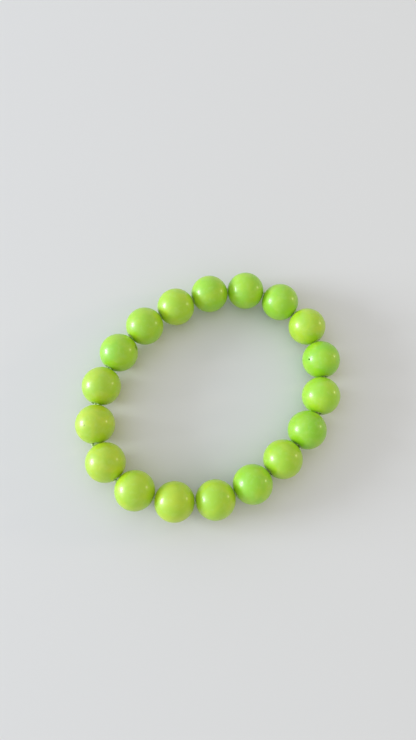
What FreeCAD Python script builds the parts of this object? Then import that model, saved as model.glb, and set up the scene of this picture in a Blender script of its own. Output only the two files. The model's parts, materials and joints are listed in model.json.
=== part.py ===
import FreeCAD, Part
import Sketcher

import math
import os

# A stretch bracelet: eighteen drilled round beads threaded on one elastic cord that is
# tied in a knot between bead 13 and bead 14. It lies flat in an uneven oval loop.
# Millimetres, +Z up. The origin is under the middle of the loop, on the surface that the
# beads rest on. Beads are numbered clockwise as seen from above.
#
# The cord is one piece that stretches. Each bead's length of it is a solid of its own,
# which stays with that bead and reaches through the next gap into the next bead's hole. As
# a gap opens, this tip slides out of that hole, and never so far that the gap is bare.

BEAD_COUNT = 18
FIRST_BEAD = 14  # the bead after the knot, where the string of beads starts
LAST_BEAD = 13  # the bead before the knot

# Driving sizes in millimetres. The last two are in degrees: how steeply the knot's tails
# rise, and the direction that the first bead's hole points in. The gap stretch is how far
# each gap opens. Measured from a bead's middle, its own cord starts at the cord start, and
# the tip that comes in from the bead before stops at the tip stop.
SIZES = {
    "bead_diameter": 10.0,
    "bead_length": 9.75,
    "hole_diameter": 1.5,
    "mouth_diameter": 2.0,
    "mouth_depth": 0.35,
    "bead_pitch": 10.06,
    "gap_stretch": 3.0,
    "cord_diameter": 0.6,
    "cord_start": 0.9,
    "tip_stop": 1.1,
    "knot_diameter": 1.8,
    "knot_swell": 1.5,
    "knot_length": 1.1,
    "long_tail": 1.75,
    "short_tail": 1.4,
    "tail_rise": 45.0,
    "first_heading": 103.0,
}

# Degrees that the cord turns by in each gap as the loop lies, from the gap after bead 14
# round to the gap before bead 13. The knot's own gap closes the loop.
GAP_TURNS = (20, 16, 17, 12, 10, 24, 27, 26, 26, 20, 22, 11, 9, 24, 15, 21, 33)

X_AXIS = FreeCAD.Vector(1, 0, 0)
Y_AXIS = FreeCAD.Vector(0, 1, 0)
Z_AXIS = FreeCAD.Vector(0, 0, 1)


def bead_number(step):
    """The number of the bead that stands this many places after the first one."""
    return (FIRST_BEAD - 1 + step) % BEAD_COUNT + 1


def turn_name(number):
    """The sheet's name for the turn in the gap after a bead."""
    return f"turn_after_{(number - 1) % BEAD_COUNT + 1:02d}"


def fill_sheet(doc):
    """The spreadsheet of driving sizes, with one turn for each gap."""
    rows = dict(SIZES)
    for step, turn in enumerate(GAP_TURNS):
        rows[turn_name(bead_number(step))] = turn
    rows[turn_name(LAST_BEAD)] = 360 - sum(GAP_TURNS)
    sheet = doc.addObject("Spreadsheet::Sheet", "sizes")
    for row, (alias, value) in enumerate(rows.items(), start=1):
        sheet.set(f"A{row}", alias)
        sheet.set(f"B{row}", str(value))
        sheet.setAlias(f"B{row}", alias)
    doc.recompute()
    return sheet


def lay_loop(sheet):
    """Where each bead lies: its number to (x, y, heading of its hole in degrees).

    The cord runs straight through each bead and bends only in the gaps. Neighbouring
    beads are one pitch apart, centre to centre.
    """
    x, y, heading = 0.0, 0.0, sheet.first_heading
    places = {}
    for step in range(BEAD_COUNT):
        number = bead_number(step)
        places[number] = (x, y, heading)
        turn = sheet.get(turn_name(number))
        chord = math.radians(heading - turn / 2)
        x += sheet.bead_pitch * math.cos(chord)
        y += sheet.bead_pitch * math.sin(chord)
        heading -= turn
    print(f"the loop closes to within {math.hypot(x, y):.3f} mm")
    middle_x = (min(p[0] for p in places.values()) + max(p[0] for p in places.values())) / 2
    middle_y = (min(p[1] for p in places.values()) + max(p[1] for p in places.values())) / 2
    return {n: (px - middle_x, py - middle_y, angle) for n, (px, py, angle) in places.items()}


def placement(x, y, z, heading):
    """A placement at a point, with the local X axis along a heading in the XY plane."""
    return FreeCAD.Placement(FreeCAD.Vector(x, y, z), FreeCAD.Rotation(Z_AXIS, heading))


def bind_size(sketch, name, formula, constraint):
    """Adds a constraint with a name, whose size is a formula of the spreadsheet's cells."""
    index = sketch.addConstraint(constraint)
    sketch.renameConstraint(index, name)
    sketch.setExpression(f"Constraints.{name}", formula)


def draw_bead_section(sketch):
    """Half of a bead's section. The sketch's X axis is the hole's axis.

    The outline is an arc about the centre, cut square at both ends, where a countersunk
    mouth leads into the hole.
    """
    radius = SIZES["bead_diameter"] / 2
    end = SIZES["bead_length"] / 2
    flat = math.sqrt(radius**2 - end**2)
    hole = SIZES["hole_diameter"] / 2
    mouth = SIZES["mouth_diameter"] / 2
    inner = end - SIZES["mouth_depth"]
    corners = [
        FreeCAD.Vector(x, y, 0)
        for x, y in (
            (-inner, hole),
            (inner, hole),
            (end, mouth),
            (end, flat),
            (-end, flat),
            (-end, mouth),
        )
    ]
    ball = Part.Circle(FreeCAD.Vector(0, 0, 0), Z_AXIS, radius)
    flat_angle = math.atan2(flat, end)
    wall = sketch.addGeometry(Part.LineSegment(corners[0], corners[1]))
    cone = sketch.addGeometry(Part.LineSegment(corners[1], corners[2]))
    face = sketch.addGeometry(Part.LineSegment(corners[2], corners[3]))
    arc = sketch.addGeometry(Part.ArcOfCircle(ball, flat_angle, math.pi - flat_angle))
    far_face = sketch.addGeometry(Part.LineSegment(corners[4], corners[5]))
    far_cone = sketch.addGeometry(Part.LineSegment(corners[5], corners[0]))

    start, finish, centre = 1, 2, 3
    origin, upright = -1, -2
    chain = (wall, cone, face, arc, far_face, far_cone)
    for line, after in zip(chain, chain[1:] + chain[:1]):
        sketch.addConstraint(Sketcher.Constraint("Coincident", line, finish, after, start))
    sketch.addConstraint(Sketcher.Constraint("Coincident", arc, centre, origin, start))
    sketch.addConstraint(Sketcher.Constraint("Vertical", face))
    sketch.addConstraint(Sketcher.Constraint("Vertical", far_face))
    sketch.addConstraint(Sketcher.Constraint("Symmetric", wall, start, wall, finish, upright))
    sketch.addConstraint(Sketcher.Constraint("Symmetric", far_cone, start, face, start, upright))

    bind_size(
        sketch,
        "hole_radius",
        "sizes.hole_diameter / 2",
        Sketcher.Constraint("DistanceY", origin, start, wall, start, hole),
    )
    bind_size(
        sketch,
        "mouth_radius",
        "sizes.mouth_diameter / 2",
        Sketcher.Constraint("DistanceY", origin, start, face, start, mouth),
    )
    bind_size(
        sketch,
        "hole_wall",
        "sizes.bead_length - 2 * sizes.mouth_depth",
        Sketcher.Constraint("DistanceX", wall, start, wall, finish, 2 * inner),
    )
    bind_size(
        sketch,
        "length",
        "sizes.bead_length",
        Sketcher.Constraint("DistanceX", far_cone, start, face, start, 2 * end),
    )
    bind_size(
        sketch,
        "ball_radius",
        "sizes.bead_diameter / 2",
        Sketcher.Constraint("Radius", arc, radius),
    )


def make_bead(doc, sheet, number, place):
    """A drilled round bead, turned about its hole."""
    x, y, heading = place
    body = doc.addObject("PartDesign::Body", f"bead_{number:02d}")
    sketch = body.newObject("Sketcher::SketchObject", f"bead_section_{number:02d}")
    plane = next(f for f in body.Origin.OriginFeatures if f.Role == "XY_Plane")
    sketch.AttachmentSupport = [(plane, "")]
    sketch.MapMode = "FlatFace"
    draw_bead_section(sketch)
    turned = body.newObject("PartDesign::Revolution", f"bead_turned_{number:02d}")
    turned.Profile = sketch
    turned.ReferenceAxis = (sketch, ["H_Axis"])
    turned.Angle = 360
    body.Placement = placement(x, y, sheet.bead_diameter / 2, heading)
    return body


def reach(turn):
    """The formula for how far a gap's corner lies from the middles of its two beads."""
    return f"(sizes.bead_pitch / 2 / cos(sizes.{turn} * 1 deg / 2))"


def sweep_cord(doc, name, turn, start, corner):
    """A cord from behind the origin, along X through a gap, to the tip in the next hole.

    The start is how far behind the origin it begins, and the corner is how far ahead the
    gap's corner lies. The cord bends where it would with the gap half open, so that its tip
    lies parallel to the next hole, as far to one side of the middle with the gap shut as it
    lies to the other side with the gap open.
    """
    whole_turn = f"(sizes.{turn} * 1 deg)"
    half_turn = f"({whole_turn} / 2)"
    depth = f"({reach(turn)} - sizes.tip_stop)"
    offset = f"(sizes.gap_stretch / 2 * sin{half_turn})"
    bend = f"{corner} + sizes.gap_stretch / 4 / cos{half_turn}"
    ahead = f"{corner} + {depth} * cos{whole_turn} + {offset} * sin{whole_turn}"
    inward = f"{depth} * sin{whole_turn} - {offset} * cos{whole_turn}"

    path = doc.addObject("Sketcher::SketchObject", f"{name}_path")
    rough = [FreeCAD.Vector(x, y, 0) for x, y in ((-1, 0), (6, 0), (9, -1))]
    straight = path.addGeometry(Part.LineSegment(rough[0], rough[1]))
    tip = path.addGeometry(Part.LineSegment(rough[1], rough[2]))
    first, last = 1, 2
    origin, level = (-1, 1), -1
    path.addConstraint(Sketcher.Constraint("Coincident", straight, last, tip, first))
    path.addConstraint(Sketcher.Constraint("PointOnObject", straight, first, level))
    path.addConstraint(Sketcher.Constraint("PointOnObject", straight, last, level))
    for size_name, formula, kind, ends in (
        ("start", start, "DistanceX", (straight, first, *origin)),
        ("bend", bend, "DistanceX", (*origin, straight, last)),
        ("ahead", ahead, "DistanceX", (*origin, tip, last)),
        ("inward", inward, "DistanceY", (tip, last, *origin)),
    ):
        bind_size(path, size_name, formula, Sketcher.Constraint(kind, *ends, 1.0))

    ring = doc.addObject("Part::Circle", f"{name}_ring")
    ring.setExpression("Radius", "sizes.cord_diameter / 2")
    ring.Placement.Rotation = FreeCAD.Rotation(Y_AXIS, 90)
    ring.setExpression(".Placement.Base.x", f"-{start}")
    cord = doc.addObject("Part::Sweep", name)
    cord.Sections = [ring]
    cord.Spine = (path, ["Edge1", "Edge2"])
    cord.Solid = True
    cord.Transition = "Right corner"
    return cord


def make_cord_span(doc, sheet, number, place):
    """One bead's length of the cord, from inside its hole to the next bead's hole.

    The first bead's begins at the knot. The last bead's is the short length between the tip
    that comes in from the bead before it and the one that comes in from the knot.
    """
    x, y, heading = place
    name = f"cord_span_{number:02d}"
    if number == LAST_BEAD:
        span = doc.addObject("Part::Cylinder", name)
        span.setExpression("Radius", "sizes.cord_diameter / 2")
        span.setExpression("Height", "sizes.cord_start * 2")
        ahead = X_AXIS * sheet.cord_start
        lying = FreeCAD.Placement(-ahead, FreeCAD.Rotation(Y_AXIS, 90))
        span.Placement = placement(x, y, sheet.bead_diameter / 2, heading) * lying
        return span
    start = "sizes.cord_start"
    if number == FIRST_BEAD:
        start = f"({reach(turn_name(LAST_BEAD))} - sizes.knot_length / 2)"
    span = sweep_cord(doc, name, turn_name(number), start, reach(turn_name(number)))
    span.Placement = placement(x, y, sheet.bead_diameter / 2, heading)
    return span


def make_knot(doc, sheet, places, first_span):
    """The knot in its gap, with the tip that goes from it into the last bead's hole.

    It is a squeezed ball of cord with a flat on each side where the cord runs in, and two
    trimmed tails, which point out of the loop. The first bead's cord is cut out of it, so
    that the two meet face to face.
    """
    x, y, heading = places[FIRST_BEAD]
    half_turn = sheet.get(turn_name(LAST_BEAD)) / 2
    back = sheet.bead_pitch / 2 / math.cos(math.radians(half_turn))
    x -= back * math.cos(math.radians(heading))
    y -= back * math.sin(math.radians(heading))

    ball = doc.addObject("Part::Ellipsoid", "knot_ball")
    ball.setExpression("Radius1", "sizes.knot_diameter / 2")
    ball.setExpression("Radius2", "sizes.knot_swell / 2")
    ball.setExpression("Radius3", "sizes.knot_diameter / 2")
    sides = doc.addObject("Part::Box", "knot_sides")
    sides.setExpression("Length", "sizes.knot_length")
    sides.setExpression("Width", "sizes.knot_diameter * 2")
    sides.setExpression("Height", "sizes.knot_diameter * 2")
    sides.setExpression(".Placement.Base.x", "-sizes.knot_length / 2")
    sides.setExpression(".Placement.Base.y", "-sizes.knot_diameter")
    sides.setExpression(".Placement.Base.z", "-sizes.knot_diameter")
    core = doc.addObject("Part::Common", "knot_core")
    core.Base = ball
    core.Tool = sides

    tails = []
    for tail_name, rise in (("long_tail", "sizes.tail_rise"), ("short_tail", "-sizes.tail_rise")):
        tail = doc.addObject("Part::Cylinder", f"knot_{tail_name}")
        tail.setExpression("Radius", "sizes.cord_diameter / 2")
        tail.setExpression("Height", f"sizes.{tail_name}")
        tail.Placement.Rotation.Axis = FreeCAD.Vector(-1, 0, 0)
        tail.setExpression(".Placement.Rotation.Angle", f"90 deg - ({rise}) * 1 deg")
        tails.append(tail)

    # The tip leaves the knot straight back from the first bead, so it is turned about.
    tip = sweep_cord(doc, "knot_tip", turn_name(LAST_BEAD), "(sizes.knot_length / 4)", "0")
    backwards = FreeCAD.Rotation(Z_AXIS, 180 - half_turn)
    tip.Placement.Rotation = backwards * FreeCAD.Rotation(X_AXIS, 180)

    tied = doc.addObject("Part::MultiFuse", "knot_tied")
    tied.Shapes = [core, *tails, tip]
    tied.Placement = placement(x, y, sheet.bead_diameter / 2, heading + half_turn)
    knot = doc.addObject("Part::Cut", "cord_knot")
    knot.Base = tied
    knot.Tool = first_span
    return knot


def check(doc, nodes):
    """Stop before anything is written if any object failed or a node isn't one sound solid."""
    for item in doc.Objects:
        if {"Invalid", "Error"} & set(item.State):
            raise RuntimeError(f"{item.Label} failed: {item.State}")
    for node in nodes:
        shape = node.Shape
        if shape.isNull() or not shape.isValid() or len(shape.Solids) != 1:
            raise RuntimeError(f"{node.Label} isn't one sound solid")


def main():
    doc = FreeCAD.newDocument("stretch_bracelet")
    sheet = fill_sheet(doc)
    places = lay_loop(sheet)
    beads = [make_bead(doc, sheet, number, places[number]) for number in sorted(places)]
    spans = {number: make_cord_span(doc, sheet, number, places[number]) for number in places}
    knot = make_knot(doc, sheet, places, spans[FIRST_BEAD])
    doc.recompute()
    nodes = [*beads, *spans.values(), knot]
    check(doc, nodes)
    os.makedirs("parts", exist_ok=True)
    for node in nodes:
        node.Shape.exportStep(f"parts/{node.Label}.step")
        print(f"{node.Label}: {node.Shape.Volume:.3f} mm3")


main()
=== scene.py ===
import json
import math
import random

import bmesh
import bpy
from mathutils import Matrix, Vector, noise


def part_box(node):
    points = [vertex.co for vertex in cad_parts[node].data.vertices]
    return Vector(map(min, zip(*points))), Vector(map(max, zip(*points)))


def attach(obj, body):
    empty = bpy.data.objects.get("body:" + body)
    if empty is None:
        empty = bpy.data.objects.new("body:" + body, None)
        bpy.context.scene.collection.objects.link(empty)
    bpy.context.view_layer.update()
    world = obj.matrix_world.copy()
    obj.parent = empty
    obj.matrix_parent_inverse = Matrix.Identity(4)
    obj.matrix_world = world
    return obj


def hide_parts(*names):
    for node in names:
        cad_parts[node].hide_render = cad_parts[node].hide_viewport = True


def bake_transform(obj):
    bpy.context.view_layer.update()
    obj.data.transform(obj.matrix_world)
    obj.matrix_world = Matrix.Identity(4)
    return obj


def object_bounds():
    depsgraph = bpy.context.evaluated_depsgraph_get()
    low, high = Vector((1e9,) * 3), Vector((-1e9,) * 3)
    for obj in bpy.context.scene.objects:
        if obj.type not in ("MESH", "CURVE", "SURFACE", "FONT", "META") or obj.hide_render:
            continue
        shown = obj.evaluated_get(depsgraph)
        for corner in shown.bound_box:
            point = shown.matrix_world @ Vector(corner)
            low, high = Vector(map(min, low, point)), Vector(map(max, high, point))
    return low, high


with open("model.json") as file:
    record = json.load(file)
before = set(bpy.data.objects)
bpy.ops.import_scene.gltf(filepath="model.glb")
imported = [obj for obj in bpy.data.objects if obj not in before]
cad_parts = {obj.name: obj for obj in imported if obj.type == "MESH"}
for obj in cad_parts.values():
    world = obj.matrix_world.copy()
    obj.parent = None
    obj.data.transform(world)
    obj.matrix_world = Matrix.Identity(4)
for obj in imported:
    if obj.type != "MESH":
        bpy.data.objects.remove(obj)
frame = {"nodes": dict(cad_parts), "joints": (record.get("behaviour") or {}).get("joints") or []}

# A stretch bracelet: eighteen polished, dyed round stone beads on one elastic cord, which is
# tied between bead 13 and bead 14. Metres, in the frame of the CAD model. A bead's own axes
# are X along its hole, towards the next bead, Y out of the loop and Z up.

MM = 0.001
UP = Vector((0, 0, 1))
BEAD_COUNT = 18
FIRST_BEAD = 14  # the bead after the knot, where the string of beads starts
LAST_BEAD = 13  # the bead before the knot

JOINTS = {joint["name"]: joint for joint in frame["joints"]}
cad_low, cad_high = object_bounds()


# ---------------------------------------------------------------- places, read from the frame


def bead_name(number):
    return f"bead_{number:02d}"


def span_name(number):
    return f"span_{number:02d}"


def next_bead(number):
    return number % BEAD_COUNT + 1


def hole_axis(number):
    """The middle of a bead, and the direction of its hole towards the next bead."""
    joint = JOINTS[f"spin_{number:02d}"]
    return Vector(joint["pos_m"]), Vector(joint["axis"]).normalized()


def own_axes(origin, along):
    """The placement of axes with X along a level direction, Y to its left and Z up."""
    turned = Matrix((along, UP.cross(along), UP)).transposed()
    return Matrix.Translation(origin) @ turned.to_4x4()


def gap_corner(number):
    """Where the hole axes of a bead and the next one meet, and the direction between them."""
    centre, along = hole_axis(number)
    next_centre, next_along = hole_axis(next_bead(number))
    chord = next_centre - centre
    corner = centre + along * (chord.length / 2 / math.cos(along.angle(next_along) / 2))
    return corner, chord.normalized()


def measure_bead(number):
    """The sizes of a CAD bead, read from its mesh.

    They are the radii of the ball, of the flat round each mouth, of the mouth and of the
    hole, and how far from the middle the flat and the mouth's inner end lie.
    """
    to_bead = own_axes(*hole_axis(number)).inverted()
    points = [to_bead @ v.co for v in frame["nodes"][bead_name(number)].data.vertices]
    outline = [(p.x, math.hypot(p.y, p.z)) for p in points]
    hair = 0.005 * MM
    low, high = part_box(bead_name(number))
    ball = (high.z - low.z) / 2
    half = max(x for x, _ in outline)
    hole = min(radius for _, radius in outline)
    mouth = min(radius for x, radius in outline if x > half - hair)
    inner = max(x for x, radius in outline if radius < hole + hair)
    return {
        "ball": ball,
        "half": half,
        "flat": math.sqrt(ball**2 - half**2),
        "hole": hole,
        "mouth": mouth,
        "inner": inner,
    }


BEAD = measure_bead(FIRST_BEAD)
cord_low, cord_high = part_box(f"cord_span_{FIRST_BEAD:02d}")
CORD_RADIUS = (cord_high.z - cord_low.z) / 2
STRETCH = JOINTS["stretch_14_15"]["range_m"][1]  # how far each gap opens


# ---------------------------------------------------------------- camera


CAMERA_AZIMUTH = math.radians(3.56)  # turned from +Y towards +X
CAMERA_ELEVATION = math.radians(72.1)
CAMERA_ROLL = math.radians(12.8)
CAMERA_DISTANCE = 146.1 * MM
CAMERA_LENS = 27.0  # millimetres, over Blender's usual 36 mm on the long side
AIM_OFFSET = Vector((-2.0, 5.1, 0)) * MM  # from the middle of the loop


def make_camera():
    """A camera nearly overhead, rolled a little, as a phone is held over a table."""
    forward = Vector(
        (
            math.sin(CAMERA_AZIMUTH) * math.cos(CAMERA_ELEVATION),
            math.cos(CAMERA_AZIMUTH) * math.cos(CAMERA_ELEVATION),
            -math.sin(CAMERA_ELEVATION),
        )
    )
    level = Vector((math.cos(CAMERA_AZIMUTH), -math.sin(CAMERA_AZIMUTH), 0))
    upright = level.cross(forward)
    right = level * math.cos(CAMERA_ROLL) + upright * math.sin(CAMERA_ROLL)
    top = right.cross(forward)
    place = (cad_low + cad_high) / 2 + AIM_OFFSET - forward * CAMERA_DISTANCE
    data = bpy.data.cameras.new("camera")
    data.lens = CAMERA_LENS
    data.clip_start = 1 * MM
    camera = bpy.data.objects.new("camera", data)
    camera.matrix_world = (
        Matrix.Translation(place) @ Matrix((right, top, -forward)).transposed().to_4x4()
    )
    bpy.context.scene.collection.objects.link(camera)
    bpy.context.scene.camera = camera


make_camera()


# ---------------------------------------------------------------- mesh helpers


def link_mesh(name, mesh):
    """A smooth-shaded object of a mesh, with all its normals outward."""
    shape = bmesh.new()
    shape.from_mesh(mesh)
    bmesh.ops.recalc_face_normals(shape, faces=shape.faces)
    shape.to_mesh(mesh)
    shape.free()
    mesh.shade_smooth()
    piece = bpy.data.objects.new(name, mesh)
    bpy.context.scene.collection.objects.link(piece)
    return piece


def round_corner(before, corner, after, cut, steps=4):
    """The points of a small rounding that replaces a corner, cut back by the same both ways."""
    start = corner + (before - corner).normalized() * cut
    end = corner + (after - corner).normalized() * cut
    shares = [i / steps for i in range(steps + 1)]
    return [start.lerp(corner, t).lerp(corner.lerp(end, t), t) for t in shares]


def ring_faces(rows, segments, closed):
    """Quads between rings of points: a loop of rings if closed, and else an open tube."""
    last = rows if closed else rows - 1
    return [
        (
            row * segments + k,
            row * segments + (k + 1) % segments,
            (row + 1) % rows * segments + (k + 1) % segments,
            (row + 1) % rows * segments + k,
        )
        for row in range(last)
        for k in range(segments)
    ]


def tube_mesh(name, path, radii, segments=20):
    """A closed tube with domed ends along a path, with one radius for each of its points."""
    tangents = []
    for i in range(len(path)):
        ahead = path[min(i + 1, len(path) - 1)]
        behind = path[max(i - 1, 0)]
        tangents.append((ahead - behind).normalized())
    side = tangents[0].orthogonal().normalized()
    points = []
    for place, tangent, radius in zip(path, tangents, radii):
        side = (side - tangent * side.dot(tangent)).normalized()
        across = tangent.cross(side)
        for k in range(segments):
            turn = 2 * math.pi * k / segments
            points.append(place + (side * math.cos(turn) + across * math.sin(turn)) * radius)
    faces = ring_faces(len(path), segments, closed=False)
    first, last = len(points), len(points) + 1
    points.append(path[0])
    points.append(path[-1])
    end_ring = (len(path) - 1) * segments
    for k in range(segments):
        faces.append((first, (k + 1) % segments, k))
        faces.append((last, end_ring + k, end_ring + (k + 1) % segments))
    mesh = bpy.data.meshes.new(name)
    mesh.from_pydata(points, [], faces)
    return mesh


def domed(path, radius, dome):
    """The path and radii of a tube whose ends close in over a short dome."""
    length = sum((b - a).length for a, b in zip(path, path[1:]))
    radii = []
    run = 0.0
    for i, place in enumerate(path):
        if i:
            run += (place - path[i - 1]).length
        nearest = min(run, length - run)
        share = min(1.0, nearest / dome)
        radii.append(radius * max(0.25, math.sqrt(1 - (1 - share) ** 2)))
    return radii


def run_points(start, end, spacing):
    """Points from start up to, but without, end, about that far apart."""
    count = max(1, round((end - start).length / spacing))
    return [start.lerp(end, i / count) for i in range(count)]


# ---------------------------------------------------------------- beads


SEGMENTS = 112  # round the hole
ARC_STEPS = 72  # over the ball from one flat to the other
EDGE_ROUND = 0.05 * MM
MOUTH_ROUND = 0.05 * MM
UNEVEN = 0.02 * MM  # how far the polished surface dips below a true ball
UNEVEN_SCALE = 0.9  # waves of the surface in one ball radius
RAGGED = 0.35  # how far a flaw's edge strays, as a share of its radius
RAGGED_SCALE = 40.0
REFINED = (2.2, 1.5)  # flaw radii within which the faces are divided, step by step

# Flaws in single beads: the direction from the bead's middle in its own axes, the radius and
# depth of the dent, and how dark the shade painted into the dent is, 0 to 1.
FLAWS = {
    5: (Vector((0.09, -0.82, 0.57)), 0.26 * MM, 0.22 * MM, 1.0),
    14: (Vector((-0.22, 0.41, 0.89)), 0.22 * MM, 0.05 * MM, 0.4),
    16: (Vector((0.67, -0.68, 0.32)), 0.8 * MM, 0.55 * MM, 1.0),
}


def bead_profile():
    """The closed outline of a bead's section, as (along the hole, from its axis) points."""
    wall = Vector((BEAD["inner"], BEAD["hole"]))
    lip = Vector((BEAD["half"], BEAD["mouth"]))
    rim = Vector((BEAD["half"], BEAD["flat"]))
    rim_angle = math.atan2(BEAD["flat"], BEAD["half"]) + EDGE_ROUND / BEAD["ball"]
    quarter = math.pi / 2 - rim_angle
    arc = [
        Vector((math.cos(angle), math.sin(angle))) * BEAD["ball"]
        for angle in (
            rim_angle + quarter * i / (ARC_STEPS / 2) for i in range(ARC_STEPS // 2 + 1)
        )
    ]
    middle = Vector((0, BEAD["hole"]))
    half = [middle, middle.lerp(wall, 0.5)]
    half += round_corner(middle, wall, lip, MOUTH_ROUND)
    half += round_corner(wall, lip, rim, MOUTH_ROUND)
    half += round_corner(lip, rim, arc[0], EDGE_ROUND)[:-1]
    half += arc
    return half + [Vector((-p.x, p.y)) for p in reversed(half[1:-1])]


PROFILE = bead_profile()


def refine(shape, direction, reach):
    """Divides the faces round a flaw, and puts their new corners back on the ball."""
    middle = direction.normalized() * BEAD["ball"]
    for factor in REFINED:
        near = {v for v in shape.verts if (v.co - middle).length < reach * factor}
        edges = [e for e in shape.edges if e.verts[0] in near and e.verts[1] in near]
        made = bmesh.ops.subdivide_edges(shape, edges=edges, cuts=2, use_grid_fill=True)
        for item in made["geom_inner"]:
            if isinstance(item, bmesh.types.BMVert):
                item.co = item.co.normalized() * BEAD["ball"]


def make_bead_mesh(number):
    """A turned bead with a slightly uneven polished surface, and its flaw if it has one."""
    points = []
    for x, radius in PROFILE:
        for k in range(SEGMENTS):
            turn = 2 * math.pi * k / SEGMENTS
            points.append((x, radius * math.sin(turn), radius * math.cos(turn)))
    mesh = bpy.data.meshes.new(bead_name(number))
    mesh.from_pydata(points, [], ring_faces(len(PROFILE), SEGMENTS, closed=True))
    shape = bmesh.new()
    shape.from_mesh(mesh)
    flaw = FLAWS.get(number)
    if flaw:
        refine(shape, flaw[0], flaw[1])
    painted_pit_shade = shape.verts.layers.float.new("painted_pit_shade")
    chance = random.Random(number)
    drift = Vector([chance.uniform(-50, 50) for _ in range(3)])
    for vert in shape.verts:
        out = vert.co.normalized()
        on_ball = vert.co.length > BEAD["ball"] - UNEVEN
        if on_ball:
            wave = 0.5 + 0.5 * noise.noise(out * UNEVEN_SCALE + drift)
            vert.co -= out * (UNEVEN * wave)
        if flaw:
            direction, reach, depth, dark = flaw
            away = direction.angle(out) * BEAD["ball"] / reach
            ragged = away * (1 + RAGGED * noise.noise(out * RAGGED_SCALE + drift))
            if on_ball and ragged < 1:
                vert.co -= out * (depth * (1 - ragged**2) ** 0.8)
                # painted shade: the dent is darkened for the shade that falls in its hollow
                vert[painted_pit_shade] = dark * (1 - ragged**3)
    shape.to_mesh(mesh)
    shape.free()
    return mesh


# ---------------------------------------------------------------- materials


def new_material(name):
    """A new node material: the material, its tree and its shader."""
    material = bpy.data.materials.new(name)
    material.use_nodes = True
    tree = material.node_tree
    return material, tree, tree.nodes["Principled BSDF"]


def add_node(tree, kind, inputs=None, **settings):
    """A node with its settings, and with its inputs linked or set."""
    made = tree.nodes.new(kind)
    for key, value in settings.items():
        setattr(made, key, value)
    for key, value in (inputs or {}).items():
        if isinstance(value, bpy.types.NodeSocket):
            tree.links.new(value, made.inputs[key])
        else:
            made.inputs[key].default_value = value
    return made


def mix_colours(tree, share, first, second):
    """The colour socket of a blend of two colours or colour sockets."""
    made = add_node(tree, "ShaderNodeMix", data_type="RGBA")
    factor, one, other = (made.inputs[i] for i in (0, 6, 7))
    for socket, value in ((factor, share), (one, first), (other, second)):
        if isinstance(value, bpy.types.NodeSocket):
            tree.links.new(value, socket)
        elif isinstance(value, (int, float)):
            socket.default_value = value
        else:
            socket.default_value = (*value, 1)
    return made.outputs[2]


def map_range(tree, value, low, high, to_low, to_high):
    """The socket of a value remapped from one range to another, kept inside it."""
    made = add_node(
        tree,
        "ShaderNodeMapRange",
        {
            "Value": value,
            "From Min": low,
            "From Max": high,
            "To Min": to_low,
            "To Max": to_high,
        },
        interpolation_type="SMOOTHSTEP",
    )
    return made.outputs["Result"]


def millimetre_coords(tree, drift):
    """Coordinates of the piece's own mesh in millimetres, shifted so that pieces differ."""
    coords = add_node(tree, "ShaderNodeTexCoord").outputs["Object"]
    mapped = add_node(
        tree,
        "ShaderNodeMapping",
        {"Vector": coords, "Scale": (1 / MM,) * 3, "Location": drift},
    )
    return mapped.outputs["Vector"]


def noise_value(tree, coords, scale, detail=2.0, distortion=0.0):
    """The socket of a noise pattern, with its scale in waves to a millimetre."""
    made = add_node(
        tree,
        "ShaderNodeTexNoise",
        {"Vector": coords, "Scale": scale, "Detail": detail, "Distortion": distortion},
    )
    return made.outputs["Fac"]


# Dye colours, as the surface's linear base colour.
GREEN = Vector((0.270, 0.610, 0.010))
YELLOW = Vector((0.450, 0.590, 0.010))
PALE_STONE = (0.62, 0.76, 0.34)
# Near-black painted shade for the hollows of the flaws, not a colour of the stone.
PIT_PAINTED_SHADE = (0.035, 0.045, 0.012)

# How yellow each bead's dye is beside the greenest one, and how deep it is, both 0 to 1. A
# deeper dye is a little darker and has less blue in it.
DEEP_DARKER = 0.12
DEEP_LESS_BLUE = 0.8
DYES = {
    1: (0.3, 0.4),
    2: (0.2, 0.2),
    3: (0.2, 0.3),
    4: (0.7, 0.0),
    5: (0.0, 0.5),
    6: (0.4, 0.0),
    7: (0.0, 1.0),
    8: (0.6, 0.3),
    9: (0.2, 0.2),
    10: (0.7, 0.0),
    11: (0.9, 0.0),
    12: (0.8, 0.0),
    13: (1.0, 0.0),
    14: (1.0, 0.1),
    15: (0.8, 0.2),
    16: (0.2, 0.5),
    17: (0.5, 0.4),
    18: (0.7, 0.0),
}


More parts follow.
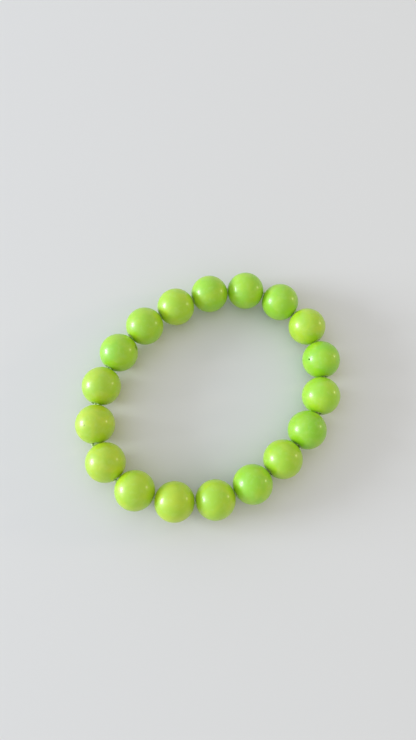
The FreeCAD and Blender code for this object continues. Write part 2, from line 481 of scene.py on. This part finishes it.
def stone_material(number):
    """Polished dyed stone: cloudy colour, fine mottling, a paler mouth and painted shade in the
    pits.
    """
    yellow, deep = DYES[number]
    base = GREEN.lerp(YELLOW, yellow) * (1 - DEEP_DARKER * deep)
    base.z *= 1 - DEEP_LESS_BLUE * deep
    material, tree, shader = new_material(f"stone_{number:02d}")
    chance = random.Random(100 + number)
    coords = millimetre_coords(tree, tuple(chance.uniform(-90, 90) for _ in range(3)))

    clouds = noise_value(tree, coords, 0.22, 2.0, 0.6)
    cloudy = map_range(tree, clouds, 0.36, 0.66, 0.0, 1.0)
    greener = base.lerp(GREEN, 0.3) * 0.98
    yellower = base.lerp(YELLOW, 0.3) * 1.03
    colour = mix_colours(tree, cloudy, tuple(greener), tuple(yellower))
    mottle = noise_value(tree, coords, 0.8, 4.0, 0.2)
    mottled = map_range(tree, mottle, 0.46, 0.70, 0.0, 0.08)
    colour = mix_colours(tree, mottled, colour, PALE_STONE)
    flecks = add_node(tree, "ShaderNodeTexVoronoi", {"Vector": coords, "Scale": 1.1})
    flecked = map_range(tree, flecks.outputs["Distance"], 0.03, 0.12, 0.10, 0.0)
    colour = mix_colours(tree, flecked, colour, tuple(base * 0.55))

    own = add_node(tree, "ShaderNodeTexCoord").outputs["Object"]
    across = add_node(
        tree,
        "ShaderNodeVectorMath",
        {0: own, 1: (0.0, 1 / MM, 1 / MM)},
        operation="MULTIPLY",
    )
    from_axis = add_node(
        tree, "ShaderNodeVectorMath", {0: across.outputs["Vector"]}, operation="LENGTH"
    )
    drilled = map_range(tree, from_axis.outputs["Value"], 1.0, 1.45, 0.7, 0.0)
    colour = mix_colours(tree, drilled, colour, PALE_STONE)
    # Painted shade in the flaws' dents, darkest in their middles.
    painted_pit_shade = add_node(tree, "ShaderNodeAttribute", attribute_name="painted_pit_shade").outputs["Fac"]
    colour = mix_colours(tree, painted_pit_shade, colour, PIT_PAINTED_SHADE)
    tree.links.new(colour, shader.inputs["Base Color"])

    rough = map_range(tree, mottle, 0.3, 0.7, 0.44, 0.52)
    tree.links.new(rough, shader.inputs["Roughness"])
    shader.inputs["IOR"].default_value = 1.54
    shader.inputs["Subsurface Weight"].default_value = 0.25
    shader.inputs["Subsurface Radius"].default_value = (1.0, 1.6, 0.4)
    shader.inputs["Subsurface Scale"].default_value = 0.6 * MM
    shader.inputs["Coat Weight"].default_value = 0.5
    shader.inputs["Coat Roughness"].default_value = 0.19
    shader.inputs["Coat IOR"].default_value = 1.5
    fine = noise_value(tree, coords, 5.0, 4.0)
    bump = add_node(
        tree,
        "ShaderNodeBump",
        {"Height": fine, "Strength": 0.08, "Distance": 0.02 * MM},
    )
    tree.links.new(bump.outputs["Normal"], shader.inputs["Normal"])
    return material


def elastic_material():
    """Translucent elastic cord, faintly streaked along its length, with painted green light from
    the beads.
    """
    material, tree, shader = new_material("elastic")
    coords = millimetre_coords(tree, (3.0, 7.0, 1.0))
    streaks = noise_value(tree, coords, 2.4, 4.0, 1.2)
    share = map_range(tree, streaks, 0.35, 0.68, 0.0, 1.0)
    # The pale green is painted light: green reflected from the beads onto a clear cord, kept
    # bright to lift the shade in the gaps.
    colour = mix_colours(tree, share, (0.58, 0.80, 0.26), (0.76, 0.90, 0.42))
    tree.links.new(colour, shader.inputs["Base Color"])
    rough = map_range(tree, streaks, 0.3, 0.7, 0.30, 0.48)
    tree.links.new(rough, shader.inputs["Roughness"])
    shader.inputs["IOR"].default_value = 1.49
    shader.inputs["Transmission Weight"].default_value = 0.25
    shader.inputs["Subsurface Weight"].default_value = 0.4
    shader.inputs["Subsurface Radius"].default_value = (1.0, 1.0, 0.6)
    shader.inputs["Subsurface Scale"].default_value = 0.3 * MM
    bump = add_node(
        tree,
        "ShaderNodeBump",
        {"Height": streaks, "Strength": 0.3, "Distance": 0.04 * MM},
    )
    tree.links.new(bump.outputs["Normal"], shader.inputs["Normal"])
    return material


def make_beads():
    """The eighteen beads, each turning with its own CAD bead."""
    for number in range(1, BEAD_COUNT + 1):
        name = bead_name(number)
        bead = link_mesh(f"{name}_stone", make_bead_mesh(number))
        bead.matrix_world = own_axes(*hole_axis(number))
        bead.data.materials.append(stone_material(number))
        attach(bead, name)
        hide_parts(name)


# ---------------------------------------------------------------- cord


BEND = 0.75 * MM  # how far on each side of a gap's corner the cord starts to bend
GAP_SPACING = 0.10 * MM
HOLE_SPACING = 0.45 * MM
DOME = 0.12 * MM


def cord_path(number):
    """The middle line of the cord from one bead's middle to the next one's."""
    centre, along = hole_axis(number)
    next_centre, next_along = hole_axis(next_bead(number))
    corner, _ = gap_corner(number)
    steps = round(2 * BEND / GAP_SPACING)
    bend = round_corner(centre, corner, next_centre, BEND, steps)
    path = run_points(centre, bend[0], HOLE_SPACING) + bend[:-1]
    path += run_points(bend[-1], next_centre, HOLE_SPACING) + [next_centre]
    return path


def make_spans(material):
    """The cord from bead to bead: each piece stretches across one gap."""
    for step in range(BEAD_COUNT - 1):
        number = (FIRST_BEAD - 1 + step) % BEAD_COUNT + 1
        after = next_bead(number)
        path = cord_path(number)
        name = f"elastic_{number:02d}_{after:02d}"
        span = link_mesh(name, tube_mesh(name, path, domed(path, CORD_RADIUS, DOME)))
        span.data.materials.append(material)
        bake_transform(span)
        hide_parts(f"cord_span_{number:02d}")
        if after == LAST_BEAD:
            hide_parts(f"cord_span_{after:02d}")


# The knot, in its own axes: X along the cord, Y out of the loop and Z up.
KNOT_TURN = 0.19 * MM  # scale of the knot's loops across the cord
KNOT_THICK = 0.26 * MM  # and along it
KNOT_STRAND = 0.24 * MM  # radius of the cord where the knot pulls it thin
KNOT_STEPS = 96
LONG_TAIL = Vector((0.1, 0.80, 0.95)) * MM
SHORT_TAIL = Vector((-0.15, 0.80, -0.7)) * MM
TAIL_STEPS = 14
TIP_DEPTH = 3.9 * MM  # how far past the knot the cord reaches into the last bead
KNOT_VOXEL = 0.045 * MM


def knot_loops():
    """The tight loops of the knot: a trefoil across the cord."""
    path = []
    for i in range(KNOT_STEPS + 1):
        t = 2 * math.pi * i / KNOT_STEPS
        across = math.sin(t) + 2 * math.sin(2 * t)
        upright = math.cos(t) - 2 * math.cos(2 * t)
        path.append(
            Vector((math.sin(3 * t) * KNOT_THICK, across * KNOT_TURN, upright * KNOT_TURN))
        )
    return path


def tail_path(end):
    """A trimmed tail that leaves the knot outwards and curls a little."""
    out = Vector((0, end.length * 0.55, 0))
    shares = [i / TAIL_STEPS for i in range(TAIL_STEPS + 1)]
    return [Vector().lerp(out, t).lerp(out.lerp(end, t), t) for t in shares]


def make_knot(material):
    """The knot with its tails, and the cord that runs from it into the beads on both sides.

    Towards the last bead it lies where it clears that bead's hole whether its gap is shut
    or open: along the line that the cord takes when the gap is half open.
    """
    corner, chord = gap_corner(LAST_BEAD)
    axes = own_axes(corner, chord)
    last_centre, last_along = hole_axis(LAST_BEAD)
    first_centre, first_along = hole_axis(FIRST_BEAD)
    half_turn = last_along.angle(first_along) / 2
    jog = corner - first_along * (STRETCH / 4 / math.cos(half_turn))
    tip = jog - last_along * (TIP_DEPTH - STRETCH / 4)
    runs = [
        run_points(first_centre, corner, HOLE_SPACING) + [corner],
        run_points(corner, jog, GAP_SPACING) + run_points(jog, tip, GAP_SPACING) + [tip],
    ]
    strands = [(path, CORD_RADIUS) for path in runs]
    strands.append(([axes @ p for p in knot_loops()], KNOT_STRAND))
    for tail in (LONG_TAIL, SHORT_TAIL):
        strands.append(([axes @ p for p in tail_path(tail)], CORD_RADIUS * 0.9))
    shape = bmesh.new()
    for path, radius in strands:
        part = tube_mesh("strand", path, domed(path, radius, DOME))
        shape.from_mesh(part)
        bpy.data.meshes.remove(part)
    mesh = bpy.data.meshes.new("elastic_knot")
    shape.to_mesh(mesh)
    shape.free()
    knot = link_mesh("elastic_knot", mesh)
    remesh = knot.modifiers.new("fuse", "REMESH")
    remesh.mode = "VOXEL"
    remesh.voxel_size = KNOT_VOXEL
    smooth = knot.modifiers.new("smooth", "CORRECTIVE_SMOOTH")
    smooth.iterations = 4
    smooth.use_only_smooth = True
    fused = bpy.data.meshes.new_from_object(
        knot.evaluated_get(bpy.context.evaluated_depsgraph_get())
    )
    knot.modifiers.clear()
    knot.data = fused
    knot.data.name = "elastic_knot"
    knot.data.shade_smooth()
    knot.data.materials.clear()
    knot.data.materials.append(material)
    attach(knot, span_name(FIRST_BEAD))
    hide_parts("cord_knot")


# ---------------------------------------------------------------- stage


FLOOR_SIZE = 1.6
FLOOR_COLOUR = (0.69, 0.67, 0.63)
WINDOW_PLACE = Vector((-1439, -215, 368)) * MM
WINDOW_SIZE = (560 * MM, 460 * MM)
WINDOW_POWER = 20.0
WINDOW_COLOUR = (0.86, 0.96, 1.12)
LAMP_PLACE = Vector((900, 342, 295)) * MM
LAMP_SIZE = (110 * MM, 110 * MM)
LAMP_POWER = 1.0
LAMP_COLOUR = (1.0, 0.84, 0.58)
SKY_LEFT = (0.86, 0.98, 1.24)
SKY_RIGHT = (0.66, 0.59, 0.42)
SKY_STRENGTH = 1.04


def make_floor():
    """A plain pale floor under the bracelet."""
    mesh = bpy.data.meshes.new("floor")
    half = FLOOR_SIZE / 2
    corners = [(-half, -half, 0), (half, -half, 0), (half, half, 0), (-half, half, 0)]
    mesh.from_pydata(corners, [], [(0, 1, 2, 3)])
    floor = bpy.data.objects.new("floor", mesh)
    bpy.context.scene.collection.objects.link(floor)
    material, tree, shader = new_material("floor")
    shader.inputs["Base Color"].default_value = (*FLOOR_COLOUR, 1)
    shader.inputs["Roughness"].default_value = 0.65
    floor.data.materials.append(material)


def make_light(name, place, size, power, colour):
    """A soft rectangular light that faces the bracelet."""
    data = bpy.data.lights.new(name, "AREA")
    data.shape = "RECTANGLE"
    data.size, data.size_y = size
    data.energy = power
    data.color = colour
    light = bpy.data.objects.new(name, data)
    light.location = place
    light.rotation_euler = (-place).to_track_quat("-Z", "Y").to_euler()
    bpy.context.scene.collection.objects.link(light)


def make_sky():
    """Soft light from all round, cooler on the window's side and warmer on the lamp's."""
    world = bpy.data.worlds.new("sky")
    bpy.context.scene.world = world
    world.use_nodes = True
    tree = world.node_tree
    direction = add_node(tree, "ShaderNodeTexCoord").outputs["Generated"]
    parts = add_node(tree, "ShaderNodeSeparateXYZ", {"Vector": direction})
    share = map_range(tree, parts.outputs["X"], -0.9, 0.9, 0.0, 1.0)
    colour = mix_colours(tree, share, SKY_LEFT, SKY_RIGHT)
    background = tree.nodes["Background"]
    tree.links.new(colour, background.inputs["Color"])
    background.inputs["Strength"].default_value = SKY_STRENGTH


make_beads()
elastic = elastic_material()
make_spans(elastic)
make_knot(elastic)
make_floor()
make_light("window", WINDOW_PLACE, WINDOW_SIZE, WINDOW_POWER, WINDOW_COLOUR)
make_light("lamp", LAMP_PLACE, LAMP_SIZE, LAMP_POWER, LAMP_COLOUR)
make_sky()
bpy.context.scene.view_settings.view_transform = "Standard"
